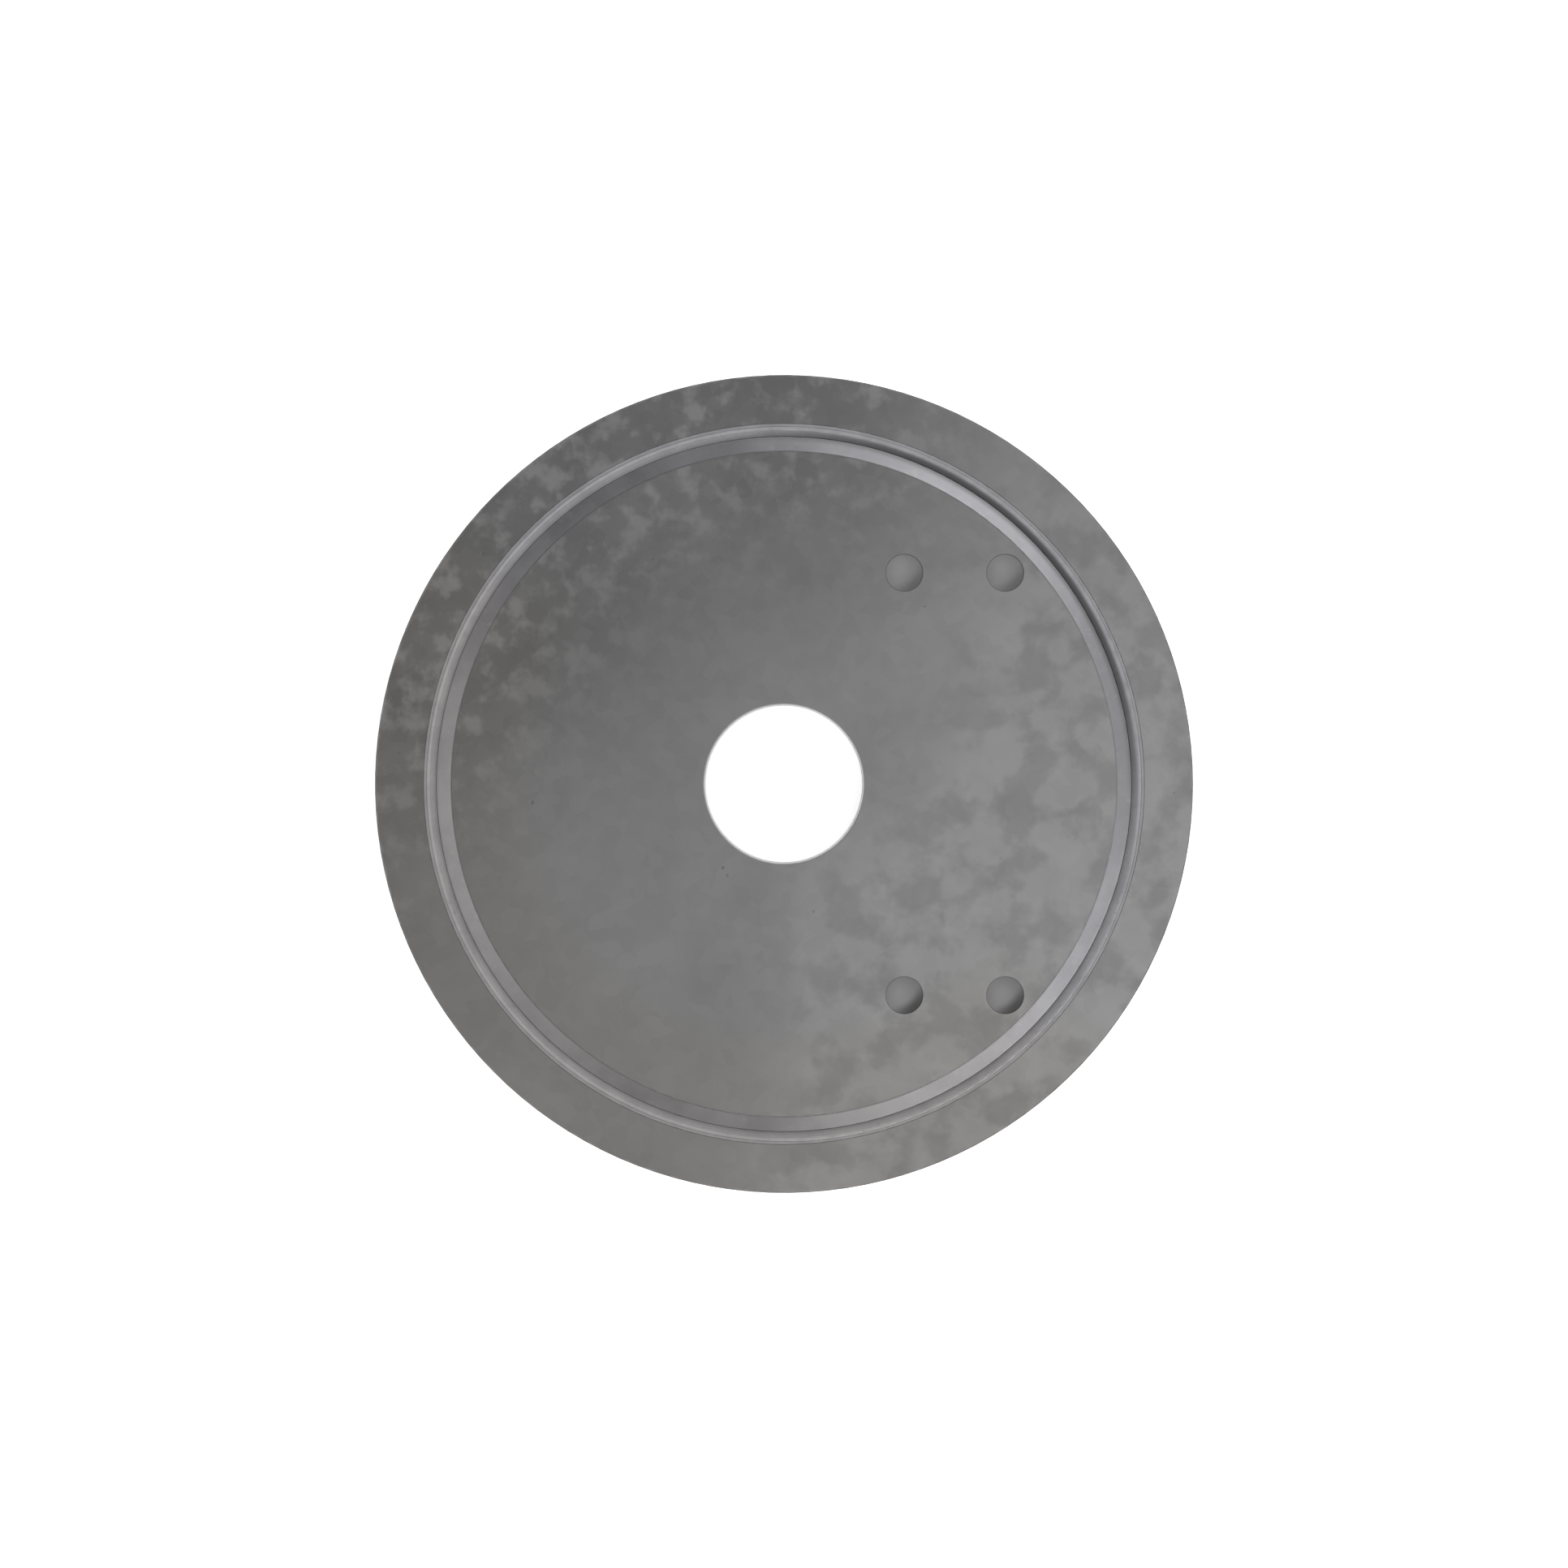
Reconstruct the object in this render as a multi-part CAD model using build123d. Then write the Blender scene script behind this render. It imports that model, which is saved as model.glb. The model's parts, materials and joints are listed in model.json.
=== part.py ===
from build123d import *
from math import asin, atan2, degrees, hypot, radians, sqrt, tan
import os

# Blind flange with a central port: a steel plate, and a seal in a groove in its front face.
# Millimetres. The origin is on the bore's axis at the back face, and +Z points out of the front.

# ---- plate ----
plate_diameter = 250.0
plate_thickness = 16.0
plate_edge_break = 0.5  # 45 degree chamfer, front and back
bore_diameter = 48.8  # passes a 48.3 mm pipe
bore_edge_break = 0.2
rim_width = 15.0  # flat face between the groove and the plate's edge

# ---- groove, whose outer wall leans over the seal to hold it ----
groove_depth = 3.4
undercut_angle = 24.0  # degrees from upright
mouth_edge_break = 0.15

# ---- seal ring, moulded, with a rounded crest between two flanks ----
seal_width = 3.6  # from its inner side to the groove's mouth
seal_proud = 0.65  # how far the crest stands above the plate's face
crest_inset = 1.4  # from the groove's mouth to the crest
crest_rounding = 0.9
seal_wall_gap = 0.03  # between the seal and the groove's outer wall

# ---- retaining ring, which fills the groove inside the seal ----
cone_slope = 15.0  # degrees below level
cone_width = 4.7  # from the top of the cone to the seal's inner side, seen from the front
ring_land = 0.15  # flat edge at the top of the cone
toe_rounding = 0.2
ring_wall_gap = 0.05  # between the ring and the groove's inner wall
ring_seal_gap = 0.05  # between the ring and the seal

# ---- locating seats, shallow round recesses with dished floors ----
seat_diameter = 11.3
seat_wall_depth = 0.5
seat_dish_depth = 1.3
seat_edge_break = 0.15
seat_pitch = 30.8  # along X, between the two seats of a pair
seat_row_spacing = 129.0  # along Y, between the two pairs
seat_land = 2.65  # between the outer seats and the top of the cone

# ---- places that follow from the sizes ----
front = plate_thickness
plate_radius = plate_diameter / 2
bore_radius = bore_diameter / 2
seat_radius = seat_diameter / 2

groove_floor = front - groove_depth
undercut = tan(radians(undercut_angle))
mouth_radius = plate_radius - rim_width
groove_foot_radius = mouth_radius + groove_depth * undercut
seal_inner_radius = mouth_radius - seal_width
ring_outer_radius = seal_inner_radius - ring_seal_gap
cone_top_radius = seal_inner_radius - cone_width
cone_foot = front - (ring_outer_radius - cone_top_radius) * tan(radians(cone_slope))
ring_inner_radius = cone_top_radius - ring_land
groove_inner_radius = ring_inner_radius - ring_wall_gap

seat_circle_radius = cone_top_radius - seat_land - seat_radius
outer_seat_x = sqrt(seat_circle_radius**2 - (seat_row_spacing / 2) ** 2)
inner_seat_x = outer_seat_x - seat_pitch


def turned(outline):
    """The solid that an outline in the XZ plane makes when it is turned about Z."""
    return revolve(Plane.XZ * make_face(outline), Axis.Z, 360)


def seat_cutter():
    """The space of one seat, on the Z axis: a short round wall over a dished floor."""
    dish_radius = (seat_radius**2 + seat_dish_depth**2) / (2 * seat_dish_depth)
    wall_foot = front - seat_wall_depth
    deepest = wall_foot - seat_dish_depth
    dish = CenterArc((0, deepest + dish_radius), dish_radius, -90, degrees(asin(seat_radius / dish_radius)))
    wall = Polyline(
        (seat_radius, wall_foot),
        (seat_radius, front - seat_edge_break),
        (seat_radius + seat_edge_break, front),
        (0, front),
        (0, deepest),
    )
    return turned([dish, wall])


def flange_plate():
    """The plate, with its bore, its seal groove and its four locating seats."""
    outline = Polyline(
        (bore_radius + bore_edge_break, 0),
        (plate_radius - plate_edge_break, 0),
        (plate_radius, plate_edge_break),
        (plate_radius, front - plate_edge_break),
        (plate_radius - plate_edge_break, front),
        (mouth_radius + mouth_edge_break, front),
        (mouth_radius + mouth_edge_break * undercut, front - mouth_edge_break),
        (groove_foot_radius, groove_floor),
        (groove_inner_radius, groove_floor),
        (groove_inner_radius, front),
        (bore_radius + bore_edge_break, front),
        (bore_radius, front - bore_edge_break),
        (bore_radius, bore_edge_break),
        close=True,
    )
    plate = turned(outline)
    for x in (inner_seat_x, outer_seat_x):
        for y in (-seat_row_spacing / 2, seat_row_spacing / 2):
            plate -= Pos(x, y, 0) * seat_cutter()
    return plate


def seal_ring():
    """A foot that fills the groove, and above it two flanks that meet in a rounded crest."""
    crest_centre = (mouth_radius - crest_inset, front + seal_proud - crest_rounding)
    shoulder = (seal_inner_radius, cone_foot)
    lip = (mouth_radius + mouth_edge_break * undercut - seal_wall_gap, front - mouth_edge_break)

    def flank_angle(foot):
        """The slope, in degrees, of the straight flank that rises from its foot and touches the crest."""
        across = abs(crest_centre[0] - foot[0])
        up = crest_centre[1] - foot[1]
        return degrees(atan2(up, across) + asin(crest_rounding / hypot(across, up)))

    outer_slope = flank_angle(lip)
    crest = CenterArc(crest_centre, crest_rounding, 90 - outer_slope, outer_slope + flank_angle(shoulder))
    rest = Polyline(
        crest @ 1,
        shoulder,
        (seal_inner_radius, groove_floor),
        (groove_foot_radius - seal_wall_gap, groove_floor),
        lip,
        crest @ 0,
    )
    return turned([crest, rest])


def retaining_ring():
    """The ring with a conical top, rounded where it drops beside the seal."""
    outline = Polyline(
        (ring_inner_radius, groove_floor),
        (ring_outer_radius, groove_floor),
        (ring_outer_radius, cone_foot),
        (cone_top_radius, front),
        (ring_inner_radius, front),
        close=True,
    )
    section = make_face(outline)
    toe = section.vertices().group_by(Axis.X)[-1].sort_by(Axis.Y)[-1]
    section = fillet(toe, toe_rounding)
    return revolve(Plane.XZ * section, Axis.Z, 360)


nodes = {
    "flange_plate": flange_plate(),
    "retaining_ring": retaining_ring(),
    "seal_ring": seal_ring(),
}

os.makedirs("parts", exist_ok=True)
for name, shape in nodes.items():
    export_step(shape, f"parts/{name}.step")
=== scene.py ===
import json
import math

import bpy
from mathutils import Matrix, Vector


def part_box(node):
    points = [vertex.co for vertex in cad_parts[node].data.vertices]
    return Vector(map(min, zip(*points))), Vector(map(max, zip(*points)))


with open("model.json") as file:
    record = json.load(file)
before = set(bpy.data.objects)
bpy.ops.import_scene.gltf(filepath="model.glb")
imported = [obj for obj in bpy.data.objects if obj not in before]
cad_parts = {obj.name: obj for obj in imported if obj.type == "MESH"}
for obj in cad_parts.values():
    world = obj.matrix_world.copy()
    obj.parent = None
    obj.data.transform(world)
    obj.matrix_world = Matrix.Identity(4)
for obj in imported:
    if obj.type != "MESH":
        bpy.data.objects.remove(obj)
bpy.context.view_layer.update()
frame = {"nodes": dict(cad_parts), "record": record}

MM = 0.001

# ---- sizes read from the frame, in metres ----
mounts = {m["name"]: m for m in frame["record"]["mounts"]}
plate_low, plate_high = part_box("flange_plate")
seal_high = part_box("seal_ring")[1]
ring_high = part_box("retaining_ring")[1]
PLATE_RADIUS = plate_high.x
FRONT = plate_high.z
BORE_RADIUS = mounts["bore"]["dims"]["r_mm"] * MM
RING_RADIUS = ring_high.x  # where the retaining ring meets the seal
GROOVE_RADIUS = (ring_high.x + seal_high.x) / 2
CREST_RADIUS = RING_RADIUS + 2.25 * MM
PARTING_RADIUS = CREST_RADIUS + 0.55 * MM
SEATS_WITHIN = RING_RADIUS - 7 * MM

# ---- looks ----
WARM_TINT = (1.0, 0.966, 0.930, 1)
ZINC_METALLIC = 0.6
TURNING_PITCH = 0.35 * MM
TOOL_MARKS_PER_METRE = 6000.0


# ---- node-tree helpers ----
def new_material(name):
    """A material with its node tree and its Principled shader."""
    material = bpy.data.materials.new(name)
    material.use_nodes = True
    tree = material.node_tree
    return material, tree, tree.nodes["Principled BSDF"]


def node(tree, kind, inputs=None, **settings):
    """A node of the given kind, with its settings and its inputs, each a value or a socket."""
    made = tree.nodes.new(kind)
    for key, value in settings.items():
        setattr(made, key, value)
    for key, value in (inputs or {}).items():
        if isinstance(value, bpy.types.NodeSocket):
            tree.links.new(value, made.inputs[key])
        else:
            made.inputs[key].default_value = value
    return made


def calc(tree, operation, first, second=0.0):
    return node(tree, "ShaderNodeMath", {0: first, 1: second}, operation=operation).outputs[0]


def noise(tree, where, scale, detail=4.0, roughness=0.55):
    return node(
        tree,
        "ShaderNodeTexNoise",
        {"Vector": where, "Scale": scale, "Detail": detail, "Roughness": roughness},
    ).outputs["Fac"]


def cells(tree, where, scale, output):
    return node(tree, "ShaderNodeTexVoronoi", {"Vector": where, "Scale": scale}, feature="F1").outputs[output]


def ramp(tree, value, low, high, out_low=0.0, out_high=1.0):
    """Maps value smoothly from low..high to out_low..out_high, held at both ends."""
    return node(
        tree,
        "ShaderNodeMapRange",
        {"Value": value, "From Min": low, "From Max": high, "To Min": out_low, "To Max": out_high},
        interpolation_type="SMOOTHSTEP",
    ).outputs["Result"]


def near(tree, value, centre, reach):
    """One where value is at centre, falling smoothly to nothing at reach to either side."""
    away = calc(tree, "ABSOLUTE", calc(tree, "SUBTRACT", value, centre))
    return ramp(tree, away, 0.0, reach, 1.0, 0.0)


def weighed(tree, first, first_weight, second, second_weight):
    """The sum of two values, each times its weight."""
    scaled_first = calc(tree, "MULTIPLY", first, first_weight)
    return calc(tree, "ADD", scaled_first, calc(tree, "MULTIPLY", second, second_weight))


def mix(tree, factor, first, second, blend="MIX"):
    return node(
        tree, "ShaderNodeMix", {0: factor, 6: first, 7: second}, data_type="RGBA", blend_type=blend
    ).outputs[2]


def mix_value(tree, factor, first, second):
    return node(tree, "ShaderNodeMix", {0: factor, 2: first, 3: second}, data_type="FLOAT").outputs[0]


def grey(value, lavender=0.0):
    """A linear grey, with more blue and a trace more red as lavender goes up."""
    return (value * (1 + 0.15 * lavender), value, value * (1 + lavender), 1)


def coordinate(tree, output):
    return node(tree, "ShaderNodeTexCoord").outputs[output]


def separate(tree, vector):
    parts = node(tree, "ShaderNodeSeparateXYZ", {0: vector}).outputs
    return parts["X"], parts["Y"], parts["Z"]


def place(tree):
    """The surface point, its distance from the bore's axis, and its separate coordinates, in metres."""
    point = coordinate(tree, "Object")
    x, y, z = separate(tree, point)
    across = calc(tree, "SQRT", calc(tree, "ADD", calc(tree, "MULTIPLY", x, x), calc(tree, "MULTIPLY", y, y)))
    return point, across, x, y, z


def warmed(tree, base, across, x, y):
    """The colour with a warm tint laid over the outer part, from -X round to -Y."""
    towards = weighed(tree, x, -0.64, y, -0.77)
    side = calc(tree, "MULTIPLY", ramp(tree, across, 70 * MM, 95 * MM), ramp(tree, towards, -15 * MM, 30 * MM))
    return mix(tree, side, base, WARM_TINT, "MULTIPLY")


def seal_painted_shade_side(tree, x, y):
    """One towards +X+Y, where shade is painted beside the seal, falling to nothing round both sides."""
    return ramp(tree, calc(tree, "MULTIPLY", calc(tree, "ADD", x, y), 0.707), 55 * MM, 105 * MM)


def bump(tree, height, distance, shader):
    made = node(tree, "ShaderNodeBump", {"Height": height, "Distance": distance, "Strength": 1.0})
    tree.links.new(made.outputs["Normal"], shader.inputs["Normal"])


# ---- materials ----
def patina(tree, point, across, x, y):
    """The zinc's colour, painted darker towards -X+Y as painted shade and paler towards +X as painted light, and
    its fine blotches: pale ones towards -X+Y, dark ones towards +X.
    """
    upper_left = weighed(tree, y, 0.75, x, -0.65)
    right = weighed(tree, x, 0.9, y, -0.35)
    drift = calc(tree, "MULTIPLY", calc(tree, "SUBTRACT", noise(tree, point, 14, detail=2), 0.5), 0.10)
    # painted shade and light: these masks darken the base towards -X+Y and lighten it towards +X, and also place
    # the pale and dark blotches
    painted_shade_and_pale_blotch_side = ramp(tree, calc(tree, "ADD", upper_left, drift), 0.0, 90 * MM)
    painted_light_and_dark_blotch_side = ramp(tree, calc(tree, "ADD", right, drift), 0.0, 60 * MM)
    outward = ramp(tree, across, 50 * MM, 112 * MM, 0.15, 1.0)

    # small blotches with streaked edges, wide soft ones, and a faint cloud over everything
    streaked = node(tree, "ShaderNodeMapping", {"Vector": point, "Scale": (1.0, 0.6, 1.0)}).outputs[0]
    broad = noise(tree, point, 120, detail=3, roughness=0.5)
    fine = noise(tree, streaked, 520, detail=4, roughness=0.6)
    cloud = weighed(tree, broad, 0.8, fine, 0.2)
    pale_cloud = calc(tree, "MULTIPLY", ramp(tree, cloud, 0.47, 0.64), calc(tree, "MULTIPLY", painted_shade_and_pale_blotch_side, outward))
    wide = noise(tree, point, 76, detail=4, roughness=0.5)
    dark_cloud = calc(tree, "MULTIPLY", ramp(tree, wide, 0.55, 0.38), painted_light_and_dark_blotch_side)
    faint_cloud = ramp(tree, noise(tree, point, 30, detail=6, roughness=0.6), 0.35, 0.65)

    # painted light towards +X, then painted shade towards -X+Y, with the zinc's blotches laid over them
    base = mix(tree, painted_light_and_dark_blotch_side, grey(0.132), grey(0.166))
    base = mix(tree, painted_shade_and_pale_blotch_side, base, grey(0.084))
    base = mix(tree, calc(tree, "MULTIPLY", pale_cloud, 0.85), base, grey(0.158))
    base = mix(tree, calc(tree, "MULTIPLY", dark_cloud, 0.7), base, grey(0.108))
    base = mix(tree, 0.16, base, mix(tree, faint_cloud, grey(0.09), grey(0.18)))

    # spangle: each crystal of zinc a little paler or darker than the next
    spangle = node(tree, "ShaderNodeSeparateColor", {0: cells(tree, point, 230, "Color")}).outputs[0]
    base = mix(tree, 0.05, base, mix(tree, spangle, grey(0.04), grey(0.24)))
    return warmed(tree, base, across, x, y), cloud


def seat_painted_shade(tree, y):
    """Painted shade on the seats' +X-Y slopes, a crescent in each, stronger in the pair towards -Y."""
    normal_x, normal_y, normal_z = separate(tree, coordinate(tree, "Normal"))
    facing = weighed(tree, normal_y, 0.75, normal_x, -0.66)
    tilt = calc(tree, "SQRT", calc(tree, "SUBTRACT", 1.0, calc(tree, "MULTIPLY", normal_z, normal_z)))
    crescent = ramp(tree, calc(tree, "ADD", facing, calc(tree, "MULTIPLY", tilt, 0.5)), 0.18, 0.55)
    return calc(tree, "MULTIPLY", crescent, ramp(tree, y, -30 * MM, 30 * MM, 1.0, 0.45))


def galvanised_steel():
    """Weathered zinc with pits and lightly worn edges, bare turned walls, and dull seats, with light and shade
    painted on the zinc and in the seats.
    """
    material, tree, shader = new_material("galvanised steel")
    point, across, x, y, z = place(tree)
    base, cloud = patina(tree, point, across, x, y)

    # pits
    pit_area = ramp(tree, noise(tree, point, 70, detail=2), 0.60, 0.66)
    pit_spots = ramp(tree, cells(tree, point, 150, "Distance"), 0.05, 0.11, 1.0, 0.0)
    pits = calc(tree, "MULTIPLY", pit_spots, pit_area)
    base = mix(tree, calc(tree, "MULTIPLY", pits, 0.6), base, grey(0.08))

    # bare metal: the bore and the groove, and worn edges
    worn = ramp(tree, noise(tree, point, 260, detail=3), 0.45, 0.65)
    rim_edge = calc(tree, "MULTIPLY", near(tree, across, PLATE_RADIUS - 0.3 * MM, 0.6 * MM), worn)
    bore_wall = ramp(tree, across, BORE_RADIUS + 0.3 * MM, BORE_RADIUS + 0.15 * MM)
    front_half = ramp(tree, z, FRONT * 0.50, FRONT * 0.55)
    below_face = calc(tree, "MULTIPLY", ramp(tree, z, FRONT - 0.02 * MM, FRONT - 0.06 * MM), front_half)
    in_groove = calc(tree, "MULTIPLY", below_face, near(tree, across, GROOVE_RADIUS, 6 * MM))
    walls = calc(tree, "MAXIMUM", bore_wall, in_groove)
    bare = calc(tree, "MAXIMUM", walls, calc(tree, "MULTIPLY", rim_edge, 0.2))
    base = mix(tree, bare, base, grey(0.34, 0.02))

    # the seats' floors, dull and painted paler as painted light, with a crescent of painted shade on their +X-Y
    # slopes
    outside_bore = ramp(tree, across, BORE_RADIUS + 1 * MM, BORE_RADIUS + 2 * MM)
    over_face = calc(tree, "MULTIPLY", outside_bore, ramp(tree, across, SEATS_WITHIN + 1 * MM, SEATS_WITHIN))
    sunken = calc(tree, "MULTIPLY", ramp(tree, z, FRONT - 0.1 * MM, FRONT - 0.4 * MM), front_half)
    in_seat = calc(tree, "MULTIPLY", sunken, over_face)
    base = mix(tree, in_seat, base, mix(tree, seat_painted_shade(tree, y), grey(0.215), grey(0.080)))
    tree.links.new(base, shader.inputs["Base Color"])

    # gloss
    matt = mix_value(tree, cloud, 0.42, 0.54)
    matt = mix_value(tree, bare, matt, 0.40)
    matt = mix_value(tree, in_seat, matt, 0.64)
    tree.links.new(matt, shader.inputs["Roughness"])
    tree.links.new(mix_value(tree, bare, ZINC_METALLIC, 1.0), shader.inputs["Metallic"])

    # relief: orange-peel zinc, fine grain and pits; turning marks on the bare walls
    grain = noise(tree, point, 1500, detail=3, roughness=0.6)
    peel = noise(tree, point, 190, detail=3)
    turning = calc(tree, "SINE", calc(tree, "MULTIPLY", z, 2 * math.pi / TURNING_PITCH))
    height = weighed(tree, peel, 0.7, grain, 0.18)
    height = calc(tree, "SUBTRACT", height, calc(tree, "MULTIPLY", pits, 0.8))
    height = mix_value(tree, bare, height, calc(tree, "MULTIPLY", turning, 0.05))
    bump(tree, height, 0.05 * MM, shader)
    return material


def machined_steel():
    """Turned steel with tool marks, streaks and a lavender cast; dull on its flat land, with painted shade at its
    foot.
    """
    material, tree, shader = new_material("machined steel")
    point, across, x, y, z = place(tree)
    along = calc(tree, "MULTIPLY", across, TOOL_MARKS_PER_METRE)
    rings = node(tree, "ShaderNodeCombineXYZ", {0: along, 1: z}).outputs[0]
    marks = noise(tree, rings, 1.0, detail=3, roughness=0.7)
    stain = noise(tree, point, 55, detail=5, roughness=0.6)
    streak = noise(tree, point, 240, detail=4, roughness=0.7)
    base = mix(tree, ramp(tree, stain, 0.35, 0.65), grey(0.25, 0.055), grey(0.30, 0.05))
    base = mix(tree, ramp(tree, streak, 0.58, 0.70, 0.0, 0.4), base, grey(0.36, 0.03))
    base = mix(tree, calc(tree, "MULTIPLY", marks, 0.25), base, grey(0.20, 0.05))
    base = warmed(tree, base, across, x, y)
    # painted shade in the crease at the ring's foot beside the seal, strongest towards +X+Y
    foot = ramp(tree, across, RING_RADIUS - 2.0 * MM, RING_RADIUS - 0.2 * MM, 0.0, 0.7)
    base = mix(tree, calc(tree, "MULTIPLY", foot, seal_painted_shade_side(tree, x, y)), base, grey(0.10, 0.04))
    land = ramp(tree, z, FRONT - 0.06 * MM, FRONT - 0.01 * MM)
    base = mix(tree, land, base, grey(0.13))
    tree.links.new(base, shader.inputs["Base Color"])
    tree.links.new(mix_value(tree, stain, 0.36, 0.46), shader.inputs["Roughness"])
    shader.inputs["Metallic"].default_value = 1.0
    bump(tree, marks, 0.02 * MM, shader)
    return material


def seal_rubber():
    """Grey moulded rubber with a parting line on its outer flank, dust, specks, and painted shade at its inner
    foot.
    """
    material, tree, shader = new_material("seal rubber")
    point, across, x, y, _ = place(tree)
    dust = noise(tree, point, 120, detail=6, roughness=0.65)
    speck = noise(tree, point, 900, detail=2)
    parting = near(tree, across, PARTING_RADIUS, 0.2 * MM)
    base = mix(tree, ramp(tree, dust, 0.35, 0.65), grey(0.250, 0.05), grey(0.298, 0.04))
    base = mix(tree, ramp(tree, speck, 0.62, 0.72, 0.0, 0.3), base, grey(0.14, 0.03))
    base = mix(tree, calc(tree, "MULTIPLY", parting, 0.5), base, grey(0.07))
    # painted shade in the crease at the inner foot, where the seal meets the retaining ring, deepest towards +X+Y
    crease_shade = ramp(tree, across, RING_RADIUS + 0.1 * MM, RING_RADIUS + 1.2 * MM, 0.45, 0.0)
    base = mix(tree, crease_shade, base, grey(0.15, 0.04))
    foot_shade_band = ramp(tree, across, RING_RADIUS + 0.8 * MM, RING_RADIUS + 2.0 * MM, 0.85, 0.0)
    base = mix(tree, calc(tree, "MULTIPLY", foot_shade_band, seal_painted_shade_side(tree, x, y)), base, grey(0.05, 0.04))
    base = warmed(tree, base, across, x, y)
    tree.links.new(base, shader.inputs["Base Color"])
    tree.links.new(mix_value(tree, dust, 0.32, 0.42), shader.inputs["Roughness"])
    height = calc(tree, "SUBTRACT", calc(tree, "MULTIPLY", speck, 0.3), parting)
    bump(tree, height, 0.04 * MM, shader)
    return material


def dress(name, material):
    mesh = frame["nodes"][name].data
    mesh.materials.clear()
    mesh.materials.append(material)


dress("flange_plate", galvanised_steel())
dress("retaining_ring", machined_steel())
dress("seal_ring", seal_rubber())


# ---- floor, lights and camera ----
def add_floor():
    """A pale floor just under the plate, which glows a little so that the plate leaves no shadow on it."""
    half = 40 * PLATE_RADIUS
    mesh = bpy.data.meshes.new("floor")
    mesh.from_pydata([(-half, -half, 0), (half, -half, 0), (half, half, 0), (-half, half, 0)], [], [(0, 1, 2, 3)])
    floor = bpy.data.objects.new("floor", mesh)
    bpy.context.scene.collection.objects.link(floor)
    floor.location.z = plate_low.z - 0.1 * MM
    material, _, shader = new_material("pale floor")
    shader.inputs["Base Color"].default_value = (0.95, 0.95, 0.95, 1)
    shader.inputs["Roughness"].default_value = 0.85
    shader.inputs["Specular IOR Level"].default_value = 0.1
    shader.inputs["Emission Color"].default_value = (1, 1, 1, 1)
    shader.inputs["Emission Strength"].default_value = 0.62
    mesh.materials.append(material)


def add_sun(name, azimuth, elevation, strength, spread):
    """Soft light from a direction: azimuth counterclockwise from +X, elevation above the floor, in degrees."""
    light = bpy.data.lights.new(name, "SUN")
    light.energy = strength
    light.angle = math.radians(spread)
    lamp = bpy.data.objects.new(name, light)
    bpy.context.scene.collection.objects.link(lamp)
    a, e = math.radians(azimuth), math.radians(elevation)
    towards = Vector((math.cos(a) * math.cos(e), math.sin(a) * math.cos(e), math.sin(e)))
    lamp.rotation_mode = "QUATERNION"
    lamp.rotation_quaternion = towards.to_track_quat("Z", "Y")


def add_world(horizon, overhead):
    """Soft light from all round: bright walls at the horizon, dimmer towards the ceiling."""
    world = bpy.data.worlds.new("studio")
    bpy.context.scene.world = world
    world.use_nodes = True
    tree = world.node_tree
    background = tree.nodes["Background"]
    background.inputs["Color"].default_value = (1, 1, 1, 1)
    _, _, up = separate(tree, coordinate(tree, "Generated"))
    tree.links.new(ramp(tree, up, 0.0, 0.55, horizon, overhead), background.inputs["Strength"])


def add_camera():
    """Looks straight down at the front face, with the plate filling its share of the picture."""
    lens, sensor = 50.0, 36.0
    plate_share = 0.5222
    distance = PLATE_RADIUS / (plate_share * sensor / 2 / lens)
    data = bpy.data.cameras.new("camera")
    data.lens = lens
    data.sensor_width = sensor
    camera = bpy.data.objects.new("camera", data)
    bpy.context.scene.collection.objects.link(camera)
    camera.location = (0, 0, FRONT + distance)
    bpy.context.scene.camera = camera


add_floor()
add_world(1.0, 0.16)
add_sun("key", 331, 74, 1.3, 32)
add_sun("side_right", 58, 50, 0.72, 32)
add_sun("side_low", 300, 50, 0.32, 32)
add_sun("side_left", 192, 50, 0.62, 50)
add_camera()
bpy.context.scene.view_settings.view_transform = "Standard"
